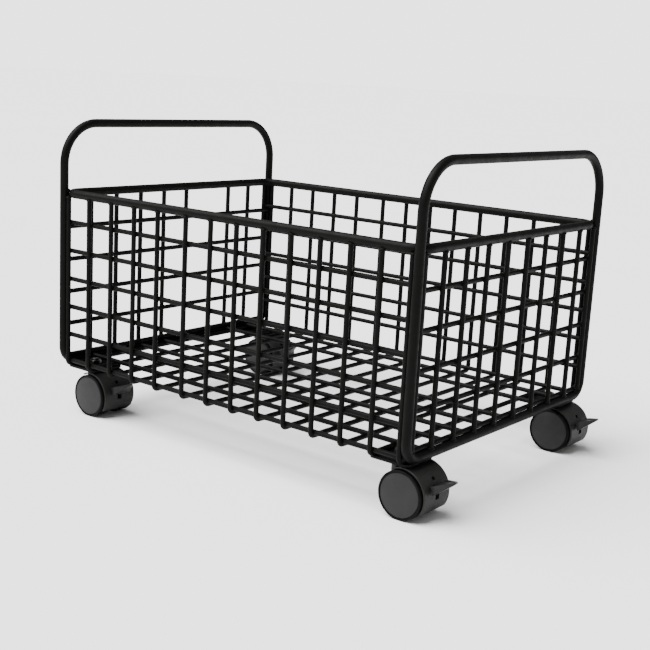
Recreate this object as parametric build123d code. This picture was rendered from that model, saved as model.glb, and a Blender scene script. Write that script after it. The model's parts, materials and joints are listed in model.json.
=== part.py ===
from build123d import *
import os
from math import cos, radians, sin, sqrt

# A wire basket on four braked twin-wheel casters, which carries a computer tower beside a desk.
# Millimetres. The origin is on the ground under the middle of the basket, +X along its length
# towards the brake levers, +Z up.

# ---- basket: overall sizes -------------------------------------------------
LENGTH = 500.0            # between the centre lines of the two end frames
WIDTH = 360.0             # between the post centre lines of one end frame
BAR = 10.0                # end frames and rim, diameter
WIRE = 5.5                # mesh wire, diameter
WELD_SET = 1.5            # how far crossing wires are pressed into each other
BASE_Z = 61.0             # centre line of the end frames' bottom runs above the ground
HANDLE_RISE = 282.0       # handle centre line above the bottom run
RIM_RISE = 201.5          # rim centre line above the bottom run
HANDLE_BEND = 47.0        # centre line radii of the end frame's bends
FOOT_BEND = 17.6
RIM_INSET_X = 1.0         # rim centre line inside the post centre lines
RIM_INSET_Y = 3.0

# ---- basket: mesh ----------------------------------------------------------
LAYER = WIRE - WELD_SET   # step between two layers of welded wire
FLOOR_Z = -BAR / 2 + WIRE / 2          # cross wires, level with the underside of the frames
SIDE_Y = WIDTH / 2 - 0.5                # cross wires up the two long sides
END_X = LENGTH / 2 + 1.0                # uprights of the two ends
CROSS_BEND = 5.0
CROSS_START = -206.0                    # first free cross wire, then two evenly spaced runs
CROSS_RUNS = ((4, 37.8), (8, 36.8))     # (wires, pitch)
CROSS_BREAK = 43.0                      # wider step between the two runs
POST_GAP = BAR / 2 + WIRE / 2          # wires that lie against a post
LONG_PITCH = 39.6
LONG_COUNT = 8
OPEN_ROW = 6                            # this floor wire and this left upright are left out
RAIL_PITCH = 33.6
RAIL_COUNT = 5
RUNG_START = 7.3
RUNG_PITCH = 38.75
RUNG_COUNT = 5
END_TRIM = 2.0                          # wires stop this far inside a bar's centre line
TOP_TRIM = 2.5                          # wire ends run this far into the rim and the bottom runs

# ---- caster plates and stems -----------------------------------------------
PLATE = 46.0
PLATE_THICK = 2.5
PLATE_EDGE_X = 249.0
PLATE_EDGE_Y = 174.0
PLATE_CORNER = 5.0
STEM = 8.0
SHOULDER = 16.0
SHOULDER_THICK = 1.2
WASHER = 16.0
WASHER_THICK = 1.6
NUT_ACROSS = 13.0
NUT_THICK = 5.0
NUT_BEVEL_RISE = 13.0     # height and flare of the cone that bevels the nut's upper corners
NUT_BEVEL_FLARE = 10.0
STEM_ABOVE_PLATE = 8.2
STEM_CHAMFER = 0.6
RUNNING = 0.05            # radial clearance of every turning fit

# ---- one caster, measured from the stem axis and the ground ----------------
WHEEL = 50.0              # wheel diameter
AXLE_X = 17.0             # trail: axle behind the stem
AXLE_Z = WHEEL / 2
CASTER_WIDTH = 52.0       # over both wheel faces
WHEEL_INNER_Y = 8.0
CORE_RADIUS = 22.8
CORE_CHAMFER = 0.8
CORE_WALL = 3.0
CORE_SETBACK = 0.6        # core's rim and tread behind the hub's inner end
FACE_DROP = 1.1           # wheel face, from its middle to its edge
FACE_DROP_HALFWAY = 0.28
SPOKE_COUNT = 6
SPOKE_THICK = 1.6
SPOKE_SETBACK = 3.0       # spokes behind the hub's inner end
SPOKE_OVERLAP = 0.5       # how far each spoke runs into the hub and the rim
TREAD_TOP_Y = 25.2
TREAD_SHOULDER = 1.2
AXLE = 6.0
AXLE_LENGTH = 45.0
AXLE_CHAMFER = 0.5
AXLE_END_GAP = 0.5
HUB_RADIUS = 6.5
HOOD_OUTER = 27.5
HOOD_INNER = 26.0
HOOD_WIDTH = 44.0
HOOD_START = -33.0        # degrees from +X about the axle, at the lower back edge
HOOD_END = 118.0
HOOD_STEPS = 4            # flat steps of the wedge that cuts the hood to its angles
HOOD_END_RADIUS = 1.0
WEB_THICK = 14.8
WEB_FOOT_Z = 10.5
COLLAR = 18.0
COLLAR_TOP = 51.9
COLLAR_FOOT = 30.0
STEM_FOOT = 28.5
SEAT_GAP = 0.3
CLIP_Z = 41.0
CLIP_THICK = 1.2
CLIP_OUTER = 11.0
CLIP_GROOVE = 6.8
CLIP_SLIT = 2.6

# ---- brake lever -----------------------------------------------------------
PIVOT_FROM_AXLE = (3.5, 7.5)          # X and Z
PIVOT_X = AXLE_X + PIVOT_FROM_AXLE[0]
PIVOT_Z = AXLE_Z + PIVOT_FROM_AXLE[1]
LEVER_PRESS = 16.0        # degrees from raised to pressed
LEVER_HUB = 7.6
LEVER_NECK_ANGLE = 4.0    # degrees above level, from the pivot
LEVER_NECK_WIDTH = 5.4
LEVER_NECK_THICK = 5.0
LEVER_GAP = 0.5
LEVER_HOOD_GAP = 0.6      # between the hood and the root of the pressed blade
LEVER_WIDTH = 26.0
LEVER_ROOT_ANGLES = (14.0, 4.0, -6.5)   # top, middle and foot of the blade's root, from the pivot
LEVER_TIP_X = AXLE_X + 47.7
LEVER_TIP_Z = AXLE_Z + 19.4
LEVER_TIP_THICK = 1.8
LEVER_TIP_WIDTH = 3.2
LEVER_SHOULDER = 4.0      # blade's full width ends this far past the hood
LEVER_RIM = 1.8           # raised rim round the blade's dished top
LEVER_DISH = 0.8
LEVER_DISH_TIP = 0.4      # least width of the dish, at its tip
PIN = 3.0
PIN_LENGTH = WEB_THICK
SLOT_SPARE = 4.0          # degrees that the lever's slot runs on below the pressed neck
SIGHT_HOLE = 4.6
SIGHT_HOLE_ANGLE = 38.0
SIGHT_HOLE_DEPTH = 4.0

CORNERS = {
    "front_left": (-1, -1),
    "front_right": (1, -1),
    "back_left": (-1, 1),
    "back_right": (1, 1),
}


def signed_pairs(values):
    """The same values on both sides of zero, in rising order."""
    return sorted([-value for value in values] + list(values))


def rod(start, end, diameter):
    """A straight round wire between two points."""
    run = Vector(*end) - Vector(*start)
    place = Plane(origin=start, z_dir=run)
    return place * Cylinder(diameter / 2, run.length, align=(Align.CENTER, Align.CENTER, Align.MIN))


def bent_bar(path, diameter):
    """A round bar along a path of straight runs and tangent arcs."""
    section = Plane(origin=path @ 0, z_dir=path % 0) * Circle(diameter / 2)
    return sweep(section, path=path)


def coped(wires, *bars):
    """Each wire, trimmed where it butts against the bars; what is left of it is one solid."""
    trimmed = []
    for wire in wires:
        for bar in bars:
            wire = wire - bar
        trimmed.append(max(wire.solids(), key=lambda solid: solid.volume))
    return trimmed


def across(radius, length, x, z, y=0.0):
    """A cylinder along Y."""
    return Pos(x, y, z) * Rot(90, 0, 0) * Cylinder(radius, length)


def side_profile(sketch, width):
    """A profile in the XZ plane, thickened evenly to both sides of it."""
    return extrude(Plane.XZ * sketch, amount=width / 2, both=True)


# ---- basket ----------------------------------------------------------------
def end_frame(side):
    """A closed loop of bar: two posts, the handle over the top and the bottom run."""
    x, half, top = side * LENGTH / 2, WIDTH / 2, BASE_Z + HANDLE_RISE
    corners = [(x, half, BASE_Z), (x, half, top), (x, -half, top), (x, -half, BASE_Z)]
    bends = [FOOT_BEND, HANDLE_BEND, HANDLE_BEND, FOOT_BEND]
    return bent_bar(FilletPolyline(*corners, radius=bends, close=True), BAR)


def rim_corner():
    """Bend radius with which the rim just touches the posts from inside."""
    spare = BAR - RIM_INSET_X - RIM_INSET_Y
    return spare + sqrt(spare**2 - RIM_INSET_X**2 - RIM_INSET_Y**2 + BAR**2)


def top_rim():
    """The ring of bar that closes the top of the mesh."""
    x, y, z = LENGTH / 2 - RIM_INSET_X, WIDTH / 2 - RIM_INSET_Y, BASE_Z + RIM_RISE
    corners = [(x, y, z), (-x, y, z), (-x, -y, z), (x, -y, z)]
    return bent_bar(FilletPolyline(*corners, radius=rim_corner(), close=True), BAR)


def cross_places():
    """X of every cross wire: two evenly spaced runs, and one against each post."""
    places, x = [], CROSS_START
    for count, pitch in CROSS_RUNS:
        places += [x + pitch * index for index in range(count)]
        x = places[-1] + CROSS_BREAK
    return places + signed_pairs([LENGTH / 2 - POST_GAP])


def long_places():
    """Y of the long floor wires and of the end uprights."""
    return [LONG_PITCH * (index - (LONG_COUNT - 1) / 2) for index in range(LONG_COUNT)]


def cross_wire(x):
    """One wire down the front, under the floor and up the back."""
    floor, top = BASE_Z + FLOOR_Z, BASE_Z + RIM_RISE - TOP_TRIM
    points = [(x, -SIDE_Y, top), (x, -SIDE_Y, floor), (x, SIDE_Y, floor), (x, SIDE_Y, top)]
    return bent_bar(FilletPolyline(*points, radius=CROSS_BEND), WIRE)


def long_wire(y, rise):
    """A straight wire between the two end frames."""
    reach = LENGTH / 2 - END_TRIM
    return rod((-reach, y, BASE_Z + rise), (reach, y, BASE_Z + rise), WIRE)


def rails(side):
    """Five rows along one long side, and the wire in its lower corner."""
    y = side * (SIDE_Y - LAYER)
    rises = [FLOOR_Z + LAYER] + [RAIL_PITCH * (index + 1) for index in range(RAIL_COUNT)]
    return [long_wire(y, rise) for rise in rises]


def floor_wires():
    """The long wires of the floor, with one row left open."""
    rows = [y for index, y in enumerate(long_places(), start=1) if index != OPEN_ROW]
    return [long_wire(y, FLOOR_Z + LAYER) for y in rows]


def uprights(side, open_row=None):
    """The upright wires of one end, and one against each post."""
    rows = [y for index, y in enumerate(long_places(), start=1) if index != open_row]
    rows += signed_pairs([WIDTH / 2 - POST_GAP])
    low, high = BASE_Z + TOP_TRIM, BASE_Z + RIM_RISE - TOP_TRIM
    return [rod((side * END_X, y, low), (side * END_X, y, high), WIRE) for y in rows]


def rungs(side):
    """The level wires of one end, inside its uprights."""
    x, reach = side * (END_X - LAYER), WIDTH / 2 - 2 * END_TRIM
    heights = [BASE_Z + RUNG_START + RUNG_PITCH * index for index in range(RUNG_COUNT)]
    return [rod((x, -reach, z), (x, reach, z), WIRE) for z in heights]


# ---- caster plates, stems and their fasteners ------------------------------
PLATE_TOP = BASE_Z - BAR / 2
STEM_X = PLATE_EDGE_X - PLATE / 2
STEM_Y = PLATE_EDGE_Y - PLATE / 2


def plate():
    """A square steel plate under a lower corner of the basket, with the stem's hole."""
    outline = RectangleRounded(PLATE, PLATE, PLATE_CORNER) - Circle(STEM / 2)
    return Pos(0, 0, PLATE_TOP - PLATE_THICK) * extrude(outline, amount=PLATE_THICK)


def stem():
    """The caster's stem: threaded end, shoulder under the plate, and the grooved pin below."""
    under = PLATE_TOP - PLATE_THICK
    top = PLATE_TOP + STEM_ABOVE_PLATE
    pin = rod((0, 0, STEM_FOOT), (0, 0, top), STEM)
    pin = chamfer(pin.edges().filter_by(GeomType.CIRCLE), STEM_CHAMFER)
    pin += rod((0, 0, under - SHOULDER_THICK), (0, 0, under), SHOULDER)
    groove = Cylinder(STEM, CLIP_THICK + SEAT_GAP) - Cylinder(CLIP_GROOVE / 2, CLIP_THICK + SEAT_GAP)
    return pin - Pos(0, 0, CLIP_Z) * groove


def washer():
    ring = Circle(WASHER / 2) - Circle(STEM / 2)
    return Pos(0, 0, PLATE_TOP) * extrude(ring, amount=WASHER_THICK)


def nut():
    hexagon = RegularPolygon(NUT_ACROSS / 2, 6, major_radius=False) - Circle(STEM / 2)
    bevel = Cone(NUT_ACROSS / 2 + NUT_BEVEL_FLARE, NUT_ACROSS / 2, NUT_BEVEL_RISE,
                 align=(Align.CENTER, Align.CENTER, Align.MAX))
    body = extrude(hexagon, amount=NUT_THICK) & (Pos(0, 0, NUT_THICK) * bevel)
    return Pos(0, 0, PLATE_TOP + WASHER_THICK) * body


# ---- caster ----------------------------------------------------------------
def about_axle(radius, angle):
    """A point at a radius and angle about the axle, in the XZ plane."""
    return AXLE_X + radius * cos(radians(angle)), AXLE_Z + radius * sin(radians(angle))


def about_pivot(angle, along, above):
    """A point along and above the lever's middle line, in the XZ plane, with the lever at an angle."""
    turn = radians(angle)
    return (PIVOT_X + along * cos(turn) - above * sin(turn),
            PIVOT_Z + along * sin(turn) + above * cos(turn))


def reach_past_hood(angle):
    """How far from the lever's pivot, in a direction, a point lies just clear of the hood."""
    offset_x, offset_z = PIVOT_FROM_AXLE
    along = offset_x * cos(radians(angle)) + offset_z * sin(radians(angle))
    clear = HOOD_OUTER + LEVER_HOOD_GAP
    return sqrt(along**2 + clear**2 - offset_x**2 - offset_z**2) - along


def lever_pocket():
    """The slot and the hub's room that the lever swings in."""
    half, reach = LEVER_NECK_THICK / 2 + LEVER_GAP, HOOD_OUTER + LEVER_GAP
    lowest = LEVER_NECK_ANGLE - LEVER_PRESS - SLOT_SPARE
    upper = [about_pivot(LEVER_NECK_ANGLE, along, half) for along in (0, reach)]
    lower = [about_pivot(lowest, along, -half) for along in (reach, 0)]
    room = Pos(PIVOT_X, PIVOT_Z) * Circle(LEVER_HUB / 2 + LEVER_GAP)
    return side_profile(make_face(Polyline(*upper, *lower, close=True)) + room,
                        LEVER_NECK_WIDTH + 2 * LEVER_GAP)


def housing():
    """The hood over both wheels, the web between them and the collar round the stem."""
    disc = Pos(AXLE_X, AXLE_Z) * Circle(HOOD_OUTER)
    well = Pos(AXLE_X, AXLE_Z) * Circle(HOOD_INNER)
    step = (HOOD_END - HOOD_START) / HOOD_STEPS
    angles = [HOOD_START + step * index for index in range(HOOD_STEPS + 1)]
    wedge = [about_axle(0, 0)] + [about_axle(2 * HOOD_OUTER, angle) for angle in angles]
    hood = side_profile((disc - well) & make_face(Polyline(*wedge, close=True)), HOOD_WIDTH)
    ends = hood.edges().filter_by(GeomType.CIRCLE).filter_by(lambda edge: edge.radius > HOOD_INNER)
    hood = fillet(ends, HOOD_END_RADIUS)
    above_foot = Pos(AXLE_X, WEB_FOOT_Z + WHEEL / 2) * Rectangle(2 * WHEEL, WHEEL)
    web = side_profile(disc & above_foot, WEB_THICK)
    collar = rod((0, 0, COLLAR_FOOT), (0, 0, COLLAR_TOP), COLLAR)
    wells = side_profile(well, CASTER_WIDTH) - side_profile(well, WEB_THICK)
    body = (collar - wells) + web + hood
    body -= rod((0, 0, STEM_FOOT - SEAT_GAP), (0, 0, COLLAR_TOP), STEM + 2 * RUNNING)
    body -= Pos(0, 0, CLIP_Z) * Cylinder(CLIP_OUTER / 2, CLIP_THICK)
    body -= across(AXLE / 2, WEB_THICK, AXLE_X, AXLE_Z)
    body -= across(PIN / 2, PIN_LENGTH, PIVOT_X, PIVOT_Z)
    body -= lever_pocket()
    hole_x, hole_z = about_axle(HOOD_OUTER, SIGHT_HOLE_ANGLE)
    outward = Plane(origin=(hole_x, 0, hole_z), z_dir=(hole_x - AXLE_X, 0, hole_z - AXLE_Z))
    return body - outward * Cylinder(SIGHT_HOLE / 2, 2 * SIGHT_HOLE_DEPTH)


def clip():
    """The split ring that keeps the stem in the housing."""
    ring = Circle(CLIP_OUTER / 2) - Circle(CLIP_GROOVE / 2 + RUNNING)
    ring -= Pos(CLIP_OUTER / 2, 0) * Rectangle(CLIP_OUTER / 2, CLIP_SLIT)
    return Pos(0, 0, CLIP_Z) * extrude(ring, amount=CLIP_THICK / 2, both=True)


def axle():
    pin = across(AXLE / 2, AXLE_LENGTH, AXLE_X, AXLE_Z)
    return chamfer(pin.edges().filter_by(GeomType.CIRCLE), AXLE_CHAMFER)


def wheel():
    """The moulded core: domed face, rim, hub and spokes, open towards the web. Back wheel."""
    crown, back = CASTER_WIDTH / 2, WHEEL_INNER_Y + CORE_SETBACK
    face, inside, bevel = crown - FACE_DROP, CORE_RADIUS - CORE_WALL, CORE_RADIUS - CORE_CHAMFER
    ceiling = face - CORE_WALL
    shell = make_face(
        ThreePointArc((0, crown), (CORE_RADIUS / 2, crown - FACE_DROP_HALFWAY), (bevel, face))
        + Polyline((bevel, face), (CORE_RADIUS, face - CORE_CHAMFER), (CORE_RADIUS, back),
                   (inside, back), (inside, ceiling), (HUB_RADIUS, ceiling),
                   (HUB_RADIUS, WHEEL_INNER_Y), (0, WHEEL_INNER_Y), (0, crown))
    )
    core = revolve(shell, Axis.Y)
    depth = ceiling - WHEEL_INNER_Y - SPOKE_SETBACK
    spoke = Box(inside - HUB_RADIUS + 2 * SPOKE_OVERLAP, depth, SPOKE_THICK)
    spoke = Pos((HUB_RADIUS + inside) / 2, ceiling - depth / 2, 0) * spoke
    for index in range(SPOKE_COUNT):
        core += Rot(0, 360 / SPOKE_COUNT * index, 0) * spoke
    core = Pos(AXLE_X, 0, AXLE_Z) * core
    return core - across(AXLE / 2 + RUNNING, AXLE_LENGTH + 2 * AXLE_END_GAP, AXLE_X, AXLE_Z)


def tread():
    """The tyre band round a back wheel's core, with rounded shoulders."""
    inner = WHEEL_INNER_Y + CORE_SETBACK
    width, middle = TREAD_TOP_Y - inner, (TREAD_TOP_Y + inner) / 2
    band = across(WHEEL / 2, width, AXLE_X, AXLE_Z, middle)
    band = fillet(band.edges().filter_by(GeomType.CIRCLE), TREAD_SHOULDER)
    return band - across(CORE_RADIUS, width, AXLE_X, AXLE_Z, middle)


def lever_blade_side():
    """The blade seen from the side: a wedge whose root is dished to clear the hood."""
    top, middle, foot = [
        about_pivot(angle, reach_past_hood(angle - LEVER_PRESS), 0) for angle in LEVER_ROOT_ANGLES
    ]
    tip_top = (LEVER_TIP_X, LEVER_TIP_Z + LEVER_TIP_THICK / 2)
    tip_foot = (LEVER_TIP_X, LEVER_TIP_Z - LEVER_TIP_THICK / 2)
    return ThreePointArc(top, middle, foot) + Polyline(foot, tip_foot, tip_top, top)


def lever_plan(inset):
    """The blade seen from above, drawn inwards by an inset: wide at the root, pointed at the tip."""
    root, tip = PIVOT_X + LEVER_HUB, LEVER_TIP_X - inset
    shoulder = AXLE_X + HOOD_OUTER + LEVER_SHOULDER
    wide, narrow = LEVER_WIDTH / 2 - inset, max(LEVER_TIP_WIDTH / 2 - inset, LEVER_DISH_TIP / 2)
    return make_face(Polyline((root, wide), (shoulder, wide), (tip, narrow), (tip, -narrow),
                              (shoulder, -wide), (root, -wide), close=True))


def brake_lever():
    """A pointed foot lever on a hub between the wheels, at rest in its raised position."""
    blade = side_profile(make_face(lever_blade_side()), LEVER_WIDTH)
    blade &= extrude(lever_plan(0), amount=COLLAR_TOP)
    top_skin = blade - Pos(0, 0, -LEVER_DISH) * blade
    blade -= top_skin & extrude(lever_plan(LEVER_RIM), amount=COLLAR_TOP)
    half, reach = LEVER_NECK_THICK / 2, reach_past_hood(LEVER_NECK_ANGLE - LEVER_PRESS) + LEVER_GAP
    neck = [about_pivot(LEVER_NECK_ANGLE, along, above)
            for along, above in ((0, half), (reach, half), (reach, -half), (0, -half))]
    hub = Pos(PIVOT_X, PIVOT_Z) * Circle(LEVER_HUB / 2)
    arm = side_profile(make_face(Polyline(*neck, close=True)) + hub, LEVER_NECK_WIDTH)
    return (blade + arm) - across(PIN / 2 + RUNNING, LEVER_WIDTH, PIVOT_X, PIVOT_Z)


def lever_pin():
    return across(PIN / 2, PIN_LENGTH, PIVOT_X, PIVOT_Z)


def mirrored(part):
    """The same piece on the other side of the caster's middle plane."""
    return mirror(part, about=Plane.XZ)


# ---- the whole object ------------------------------------------------------
def basket_nodes():
    frames = {"left_end_frame": end_frame(-1), "right_end_frame": end_frame(1)}
    rim = top_rim()
    posts = list(frames.values())
    groups = {
        "cross_wires": coped([cross_wire(x) for x in cross_places()], rim),
        "front_rails": coped(rails(-1), *posts),
        "back_rails": coped(rails(1), *posts),
        "floor_wires": coped(floor_wires(), *posts),
        "left_end_uprights": coped(uprights(-1, OPEN_ROW), rim, posts[0]),
        "right_end_uprights": coped(uprights(1), rim, posts[1]),
        "left_end_rungs": coped(rungs(-1), posts[0]),
        "right_end_rungs": coped(rungs(1), posts[1]),
    }
    nodes = {name: Compound(solids) for name, solids in groups.items()}
    return {**frames, "top_rim": rim, **nodes}


def caster_nodes():
    pieces = {
        "plate": plate(),
        "stem": stem(),
        "housing": housing(),
        "stem_clip": clip(),
        "axle": axle(),
        "wheel_front": mirrored(wheel()),
        "wheel_back": wheel(),
        "tread_front": mirrored(tread()),
        "tread_back": tread(),
        "brake_lever": brake_lever(),
        "lever_pin": lever_pin(),
    }
    nodes, nuts, washers = {}, [], []
    for corner, (side_x, side_y) in CORNERS.items():
        place = Pos(side_x * STEM_X, side_y * STEM_Y, 0)
        for name, piece in pieces.items():
            nodes[f"{corner}_{name}"] = place * piece
        nuts.append(place * nut())
        washers.append(place * washer())
    nodes["stem_nuts"] = Compound([piece.solid() for piece in nuts])
    nodes["stem_washers"] = Compound([piece.solid() for piece in washers])
    return nodes


os.makedirs("parts", exist_ok=True)
for name, shape in {**basket_nodes(), **caster_nodes()}.items():
    export_step(shape, f"parts/{name}.step")
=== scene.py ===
import json
from math import copysign, cos, hypot, pi, radians, sin, sqrt

import bmesh
import bpy
from mathutils import Matrix, Vector


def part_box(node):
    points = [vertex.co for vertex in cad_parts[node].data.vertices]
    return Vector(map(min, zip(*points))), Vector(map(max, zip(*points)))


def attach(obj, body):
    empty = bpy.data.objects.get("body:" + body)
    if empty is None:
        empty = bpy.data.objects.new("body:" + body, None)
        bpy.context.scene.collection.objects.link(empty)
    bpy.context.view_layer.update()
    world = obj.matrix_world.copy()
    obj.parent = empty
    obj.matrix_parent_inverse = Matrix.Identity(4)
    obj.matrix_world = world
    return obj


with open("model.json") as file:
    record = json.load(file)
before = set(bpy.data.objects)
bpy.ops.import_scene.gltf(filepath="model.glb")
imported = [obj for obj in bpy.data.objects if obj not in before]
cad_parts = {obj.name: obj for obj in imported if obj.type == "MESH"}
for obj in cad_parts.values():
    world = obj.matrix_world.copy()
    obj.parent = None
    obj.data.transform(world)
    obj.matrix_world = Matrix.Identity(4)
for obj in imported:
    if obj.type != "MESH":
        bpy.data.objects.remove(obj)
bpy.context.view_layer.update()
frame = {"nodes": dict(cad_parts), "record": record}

# A wire basket on braked twin-wheel casters. Metres, in the part's own frame: the origin is on the
# floor under the middle of the basket, +X runs along it and +Z is up.
MM = 0.001
SIDES = (-1, 1)
CORNERS = {"front_left": (-1, -1), "front_right": (1, -1), "back_left": (-1, 1), "back_right": (1, 1)}


# ---- materials -------------------------------------------------------------
NOISE_LOW, NOISE_HIGH = 0.3, 0.7        # the range that most of a noise's height lies in


def new_material(name, base_color, roughness, metallic=0.0, specular=0.5):
    """A material with its shader, whose uniform values are set on the shader itself."""
    material = bpy.data.materials.new(name)
    material.use_nodes = True
    shader = material.node_tree.nodes["Principled BSDF"]
    shader.inputs["Base Color"].default_value = (*base_color, 1.0)
    shader.inputs["Roughness"].default_value = roughness
    shader.inputs["Metallic"].default_value = metallic
    shader.inputs["Specular IOR Level"].default_value = specular
    return material, material.node_tree, shader


def object_coordinates(tree):
    return tree.nodes.new("ShaderNodeTexCoord").outputs["Object"]


def noise(tree, scale, detail=2.0, roughness=0.5):
    """The height of a noise in the object's own space; scale is in cycles per metre."""
    node = tree.nodes.new("ShaderNodeTexNoise")
    node.inputs["Scale"].default_value = scale
    node.inputs["Detail"].default_value = detail
    node.inputs["Roughness"].default_value = roughness
    tree.links.new(object_coordinates(tree), node.inputs["Vector"])
    return node.outputs["Fac"]


def cells(tree, scale):
    """The distance to the nearest cell centre of a random pattern."""
    node = tree.nodes.new("ShaderNodeTexVoronoi")
    node.inputs["Scale"].default_value = scale
    tree.links.new(object_coordinates(tree), node.inputs["Vector"])
    return node.outputs["Distance"]


def color_between(tree, shader, height, dark, light):
    """Base colour that drifts between two colours over the usual range of a noise."""
    ramp = tree.nodes.new("ShaderNodeValToRGB")
    low, high = ramp.color_ramp.elements
    low.position, low.color = NOISE_LOW, (*dark, 1.0)
    high.position, high.color = NOISE_HIGH, (*light, 1.0)
    tree.links.new(height, ramp.inputs["Fac"])
    tree.links.new(ramp.outputs["Color"], shader.inputs["Base Color"])


def roughness_between(tree, shader, height, low, high):
    remap = tree.nodes.new("ShaderNodeMapRange")
    remap.inputs["From Min"].default_value = NOISE_LOW
    remap.inputs["From Max"].default_value = NOISE_HIGH
    remap.inputs["To Min"].default_value = low
    remap.inputs["To Max"].default_value = high
    tree.links.new(height, remap.inputs["Value"])
    tree.links.new(remap.outputs["Result"], shader.inputs["Roughness"])


def bump(tree, shader, height, depth):
    """Fine relief of a depth in metres."""
    node = tree.nodes.new("ShaderNodeBump")
    node.inputs["Distance"].default_value = depth
    tree.links.new(height, node.inputs["Height"])
    tree.links.new(node.outputs["Normal"], shader.inputs["Normal"])


def finish(name, colors, roughness, tone, wear, grain, depth, specular=0.5, metallic=0.0):
    """A surface from three patterns: its tone, its wear and its grain, each (scale, detail, ...)."""
    middle = sum(roughness) / len(roughness)
    material, tree, shader = new_material(name, colors[1], middle, metallic, specular)
    color_between(tree, shader, cells(tree, tone[0]) if metallic else noise(tree, *tone), *colors)
    roughness_between(tree, shader, noise(tree, *wear), *roughness)
    bump(tree, shader, noise(tree, *grain), depth)
    return material


def greys(dark, light):
    """Two neutral colours."""
    return (dark,) * 3, (light,) * 3


def nylon(name, colors, roughness, grain):
    """Moulded plastic with the fine sparked grain of its tool."""
    return finish(name, colors, roughness, tone=(60, 4), wear=(260, 3), grain=(grain, 3, 0.6),
                  depth=0.00006, specular=0.16)


def steel(name, colors, roughness):
    """Plated or ground steel with a faint crystal pattern in its tone."""
    return finish(name, colors, roughness, tone=(500,), wear=(300, 3), grain=(1200, 2),
                  depth=0.00003, metallic=1.0)


MATERIALS = {
    # near-black satin powder coat with a fine orange peel
    "basket_coating": finish("powder_coat", ((0.0017, 0.0017, 0.0015), (0.0028, 0.0027, 0.0024)),
                             (0.44, 0.58), tone=(45, 3), wear=(120, 3), grain=(900, 2),
                             depth=0.00009, specular=0.06),
    "caster_housing": nylon("hood_nylon", ((0.0100, 0.0098, 0.0093), (0.0145, 0.0142, 0.0135)),
                            (0.41, 0.52), grain=1500),
    "wheel_core": nylon("wheel_nylon", greys(0.0095, 0.0135), (0.35, 0.46), grain=1900),
    "brake_lever": nylon("lever_nylon", ((0.0085, 0.0085, 0.0081), (0.0125, 0.0125, 0.0119)),
                         (0.37, 0.48), grain=1700),
    # black polyurethane with a fine scuffed grain
    "wheel_tread": finish("tread_rubber", ((0.0013, 0.0013, 0.0013), (0.0028, 0.0028, 0.0027)),
                          (0.48, 0.66), tone=(130, 4), wear=(420, 3), grain=(1600, 3),
                          depth=0.00005, specular=0.06),
    "stem_steel": steel("black_zinc", ((0.025, 0.025, 0.026), (0.045, 0.045, 0.044)), (0.30, 0.44)),
    "pin_steel": steel("pin_steel", ((0.28, 0.28, 0.29), (0.42, 0.42, 0.42)), (0.24, 0.38)),
    "clip_steel": steel("clip_steel", ((0.22, 0.22, 0.23), (0.34, 0.34, 0.34)), (0.28, 0.42)),
}


def dress(piece, slot):
    """Gives a piece the finish of one of the record's material slots."""
    piece.data.materials.clear()
    piece.data.materials.append(MATERIALS[slot])


for part in frame["record"]["subparts"]:
    dress(frame["nodes"][part["node"]], part["material_slot"])


# ---- welds -----------------------------------------------------------------
BAR = 5.0 * MM                          # radii of the bars, the mesh wires and the frames' lower bends
WIRE = 2.75 * MM
FOOT_BEND = 17.6 * MM
CROSSING_BEAD = (3.1 * MM, 1.5 * MM)    # radius in the wires' plane and half thickness
END_BEAD = (3.7 * MM, 1.5 * MM)         # the same, round a wire that butts against a bar
RIM_BEAD = (4.6 * MM, 1.9 * MM, 2.4 * MM)      # half sizes: along the rim, outward and up
RIM_BEAD_RISE = 3.1 * MM                # beads above and below the rim's middle
PLATE_BEAD = (1.7 * MM, 9.0 * MM, 1.3 * MM)    # half sizes: across the bar, along it and up
PLATE_BEAD_Y = (-12.0 * MM, 10.0 * MM)  # the two beads of a plate, along the bar from its middle
SQUARE, ROUND = 0.6, 1.0                # powers that shape a bead's outline
BEAD_TURNS, BEAD_ROWS = 16, 6


def solid_boxes(node):
    """Lowest and highest corner of each separate solid of a CAD node."""
    mesh = bmesh.new()
    mesh.from_mesh(frame["nodes"][node].data)
    bmesh.ops.remove_doubles(mesh, verts=mesh.verts, dist=1e-7)
    mesh.verts.index_update()
    seen, boxes = set(), []
    for first in mesh.verts:
        if first.index in seen:
            continue
        seen.add(first.index)
        waiting, places = [first], []
        while waiting:
            vertex = waiting.pop()
            places.append(vertex.co)
            near = [edge.other_vert(vertex) for edge in vertex.link_edges]
            fresh = [other for other in near if other.index not in seen]
            seen.update(other.index for other in fresh)
            waiting += fresh
        low, high = [Vector(pick(axis) for axis in zip(*places)) for pick in (min, max)]
        boxes.append((low, high))
    mesh.free()
    return boxes


def middles(node):
    return [(low + high) / 2 for low, high in solid_boxes(node)]


def bulge(value, power):
    """A sine or cosine that lingers near its ends, the more so the lower the power."""
    return copysign(abs(value) ** power, value)


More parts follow.
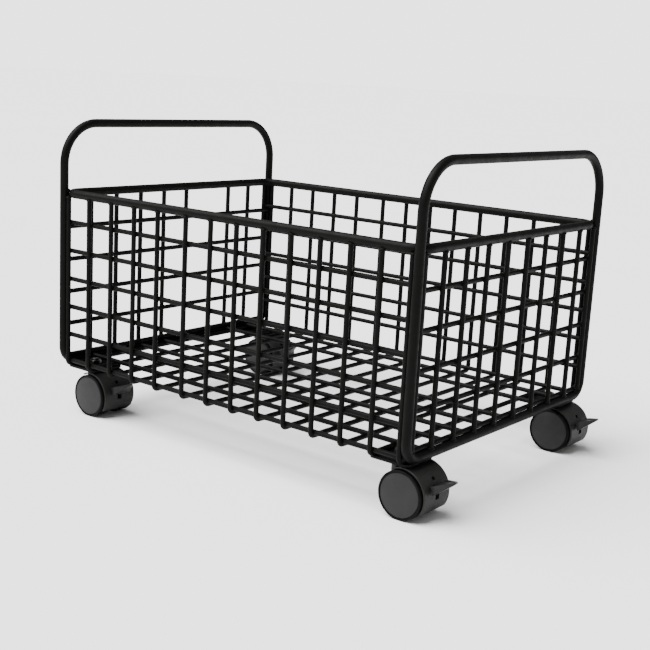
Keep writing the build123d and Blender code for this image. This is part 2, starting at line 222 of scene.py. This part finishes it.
def bead(mesh, place, normal, radii, outline=ROUND, along=None):
    """A pad of weld metal: an ellipsoid, squared off or not, with its thickness along a normal."""
    normal = Vector(normal).normalized()
    first = Vector(along or (normal.y, normal.z, normal.x))
    first = (first - normal * first.dot(normal)).normalized()
    second = normal.cross(first)
    middle, rows = Vector(place), []
    for row in range(1, BEAD_ROWS):
        rise = pi * row / BEAD_ROWS - pi / 2
        ring = []
        for turn in range(BEAD_TURNS):
            angle = 2 * pi * turn / BEAD_TURNS
            x = radii[0] * cos(rise) * bulge(cos(angle), outline)
            y = radii[1] * cos(rise) * bulge(sin(angle), outline)
            z = radii[2] * sin(rise)
            ring.append(mesh.verts.new(middle + first * x + second * y + normal * z))
        rows.append(ring)
    low = mesh.verts.new(middle - normal * radii[2])
    high = mesh.verts.new(middle + normal * radii[2])
    for turn in range(BEAD_TURNS):
        after = (turn + 1) % BEAD_TURNS
        mesh.faces.new((low, rows[0][after], rows[0][turn]))
        mesh.faces.new((high, rows[-1][turn], rows[-1][after]))
        for lower, upper in zip(rows, rows[1:]):
            mesh.faces.new((lower[turn], lower[after], upper[after], upper[turn]))


def crossing_bead(mesh, place, normal, along):
    """The metal squeezed out where two wires cross; `along` is the way that one of them runs."""
    radius, half = CROSSING_BEAD
    bead(mesh, place, normal, (radius, radius, half), SQUARE, along)


def end_bead(mesh, place, normal):
    """The collar round a wire that ends at a bar; the wire runs along the normal."""
    radius, half = END_BEAD
    bead(mesh, place, normal, (radius, radius, half))


def weld_piece(name, fill):
    """One piece of the basket that a function fills with beads."""
    mesh = bmesh.new()
    fill(mesh)
    data = bpy.data.meshes.new(name)
    mesh.to_mesh(data)
    mesh.free()
    for face in data.polygons:
        face.use_smooth = True
    piece = bpy.data.objects.new(name, data)
    bpy.context.scene.collection.objects.link(piece)
    dress(piece, "basket_coating")
    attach(piece, "basket")


FRAME_LOW, FRAME_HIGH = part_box("right_end_frame")
RIM_LOW, RIM_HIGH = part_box("top_rim")
POST_X, POST_Y = FRAME_HIGH[0] - BAR, FRAME_HIGH[1] - BAR
RUN_Z, RIM_Z = FRAME_LOW[2] + BAR, RIM_LOW[2] + BAR
CROSS = solid_boxes("cross_wires")
FLOOR_Z = CROSS[0][0].z + WIRE
SIDE_Y = CROSS[0][1].y - WIRE
CROSS_X = [(low.x + high.x) / 2 for low, high in CROSS]


def chord(offset):
    """How far a bar's surface lies from its middle plane, at an offset from its centre line."""
    return sqrt(max(BAR**2 - offset**2, 0))


def off_frame(y, z):
    """How far a point is from the centre line of an end frame, in its own plane."""
    across, down = abs(y) - POST_Y + FOOT_BEND, RUN_Z + FOOT_BEND - z
    if across > 0 and down > 0:
        return hypot(across, down) - FOOT_BEND
    return max(across, down) - FOOT_BEND


def floor_beads(mesh):
    """The long floor wires, where they cross the cross wires and where they end."""
    for wire in middles("floor_wires"):
        for x in CROSS_X:
            crossing_bead(mesh, (x, wire.y, (wire.z + FLOOR_Z) / 2), (0, 0, 1), (1, 0, 0))
        for side in SIDES:
            x = side * (POST_X - chord(off_frame(wire.y, wire.z)))
            end_bead(mesh, (x, wire.y, wire.z), (1, 0, 0))


def side_beads(mesh, rails, side):
    """The rows of one long side, and the tops of the cross wires under the rim."""
    wires = middles(rails)
    lowest = min(wire.z for wire in wires)
    for wire in wires:
        in_corner = wire.z == lowest
        y, z = (wire.y + side * SIDE_Y) / 2, (wire.z + FLOOR_Z) / 2 if in_corner else wire.z
        normal = (0, side, -1) if in_corner else (0, side, 0)
        for x in CROSS_X:
            crossing_bead(mesh, (x, y, z), normal, (1, 0, 0))
        for end in SIDES:
            x = end * (POST_X - chord(off_frame(wire.y, wire.z)))
            end_bead(mesh, (x, wire.y, wire.z), (1, 0, 0))
    foot_of_rim = RIM_Z - chord(SIDE_Y - RIM_HIGH[1] + BAR)
    for x in CROSS_X:
        end_bead(mesh, (x, side * SIDE_Y, foot_of_rim), (0, 0, 1))


def end_beads(mesh, end):
    """The mesh of one end: its crossings, and its wires' ends at the rim, the run and the posts."""
    standing, lying = middles(f"{end}_end_uprights"), middles(f"{end}_end_rungs")
    for wire in standing:
        for rung in lying:
            crossing_bead(mesh, ((wire.x + rung.x) / 2, wire.y, rung.z), (1, 0, 0), (0, 0, 1))
        foot_of_rim = RIM_Z - chord(abs(wire.x) - RIM_HIGH[0] + BAR)
        end_bead(mesh, (wire.x, wire.y, foot_of_rim), (0, 0, 1))
        at_bend = max(abs(wire.y) - POST_Y + FOOT_BEND, 0)
        run = RUN_Z + FOOT_BEND - sqrt(FOOT_BEND**2 - at_bend**2)
        end_bead(mesh, (wire.x, wire.y, run + chord(abs(wire.x) - POST_X)), (0, 0, 1))
    for rung in lying:
        at_bend = max(RUN_Z + FOOT_BEND - rung.z, 0)
        post = POST_Y - FOOT_BEND + sqrt(FOOT_BEND**2 - at_bend**2)
        for side in SIDES:
            y = side * (post - chord(abs(rung.x) - POST_X))
            end_bead(mesh, (rung.x, y, rung.z), (0, 1, 0))


def rim_beads(mesh):
    """Above and below each place where the rim's corner touches a post."""
    for side_x, side_y in CORNERS.values():
        outward = Vector((side_x, side_y, 0)).normalized()
        touch = Vector((side_x * POST_X, side_y * POST_Y, RIM_Z)) - outward * BAR
        for rise in (-RIM_BEAD_RISE, RIM_BEAD_RISE):
            tangent = outward.cross(Vector((0, 0, 1)))
            bead(mesh, touch + Vector((0, 0, rise)), (0, 0, 1), RIM_BEAD, along=tangent)


def plate_beads(mesh):
    """Along the outer edge of each caster plate, under the end frame."""
    for corner in CORNERS:
        low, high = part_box(f"{corner}_plate")
        outer = max(low[0], high[0], key=abs)
        middle = (low[1] + high[1]) / 2
        for y in PLATE_BEAD_Y:
            bead(mesh, (outer, middle + y, high[2]), (0, 0, 1), PLATE_BEAD, along=(1, 0, 0))


weld_piece("floor_welds", floor_beads)
weld_piece("front_welds", lambda mesh: side_beads(mesh, "front_rails", -1))
weld_piece("back_welds", lambda mesh: side_beads(mesh, "back_rails", 1))
weld_piece("left_end_welds", lambda mesh: end_beads(mesh, "left"))
weld_piece("right_end_welds", lambda mesh: end_beads(mesh, "right"))
weld_piece("rim_welds", rim_beads)
weld_piece("plate_welds", plate_beads)


# ---- stage -----------------------------------------------------------------
CAMERA_PLACE = Vector((812.16, -1033.69, 410.91)) * MM
CAMERA_TURN = (0.6628, 0.2144, 0.0545)  # azimuth, elevation and roll in radians
LENS, SENSOR = 63.05, 36.0              # millimetres
FLOOR_HALF = 60.0                       # half of the floor's side
FLOOR_TONES = (0.89, 0.91)
WORLD_LIGHT, WORLD_SEEN = 0.45, 2.9     # strength as light, and as the camera sees it
KEY_FROM = (-0.35, -0.45, 1.0)          # towards the key light
KEY_STRENGTH, KEY_SPREAD = 10.0, 60     # the spread in degrees


def place_camera():
    """A long lens a little above the rim, with a slight tilt."""
    azimuth, elevation, roll = CAMERA_TURN
    back = Vector((sin(azimuth) * cos(elevation), -cos(azimuth) * cos(elevation), sin(elevation)))
    right = Vector((cos(azimuth), sin(azimuth), 0))
    up = back.cross(right)
    across = right * cos(roll) + up * sin(roll)
    upward = up * cos(roll) - right * sin(roll)
    data = bpy.data.cameras.new("camera")
    data.lens, data.sensor_width = LENS, SENSOR
    camera = bpy.data.objects.new("camera", data)
    turn = Matrix((across, upward, back)).transposed().to_4x4()
    camera.matrix_world = Matrix.Translation(CAMERA_PLACE) @ turn
    bpy.context.scene.collection.objects.link(camera)
    bpy.context.scene.camera = camera


def soft_sun(name, direction, strength, spread):
    """Even light from one direction, as soft as a disc of that many degrees in the sky."""
    data = bpy.data.lights.new(name, "SUN")
    data.energy, data.angle = strength, radians(spread)
    light = bpy.data.objects.new(name, data)
    light.rotation_euler = Vector(direction).to_track_quat("Z", "Y").to_euler()
    bpy.context.scene.collection.objects.link(light)


def make_floor():
    """A pale floor, wide enough to fill every view."""
    tones = greys(*FLOOR_TONES)
    material, tree, shader = new_material("floor_paint", tones[1], roughness=0.9, specular=0.1)
    color_between(tree, shader, noise(tree, 1.5), *tones)
    mesh = bpy.data.meshes.new("floor")
    corners = [(x * FLOOR_HALF, y * FLOOR_HALF, 0) for x, y in ((-1, -1), (1, -1), (1, 1), (-1, 1))]
    mesh.from_pydata(corners, [], [range(4)])
    mesh.materials.append(material)
    floor = bpy.data.objects.new("floor", mesh)
    bpy.context.scene.collection.objects.link(floor)


def make_world(lighting, seen):
    """A plain white studio whose walls look as pale as the floor."""
    world = bpy.data.worlds.new("studio")
    world.use_nodes = True
    tree = world.node_tree
    walls, glow = tree.nodes["Background"], tree.nodes.new("ShaderNodeBackground")
    glow.inputs["Strength"].default_value = lighting
    walls.inputs["Strength"].default_value = seen
    for background in (walls, glow):
        background.inputs["Color"].default_value = (1.0, 1.0, 1.0, 1.0)
    mix, path = tree.nodes.new("ShaderNodeMixShader"), tree.nodes.new("ShaderNodeLightPath")
    tree.links.new(path.outputs["Is Camera Ray"], mix.inputs["Fac"])
    tree.links.new(glow.outputs["Background"], mix.inputs[1])
    tree.links.new(walls.outputs["Background"], mix.inputs[2])
    tree.links.new(mix.outputs["Shader"], tree.nodes["World Output"].inputs["Surface"])
    bpy.context.scene.world = world


place_camera()
make_floor()
make_world(WORLD_LIGHT, WORLD_SEEN)
soft_sun("key", KEY_FROM, KEY_STRENGTH, KEY_SPREAD)
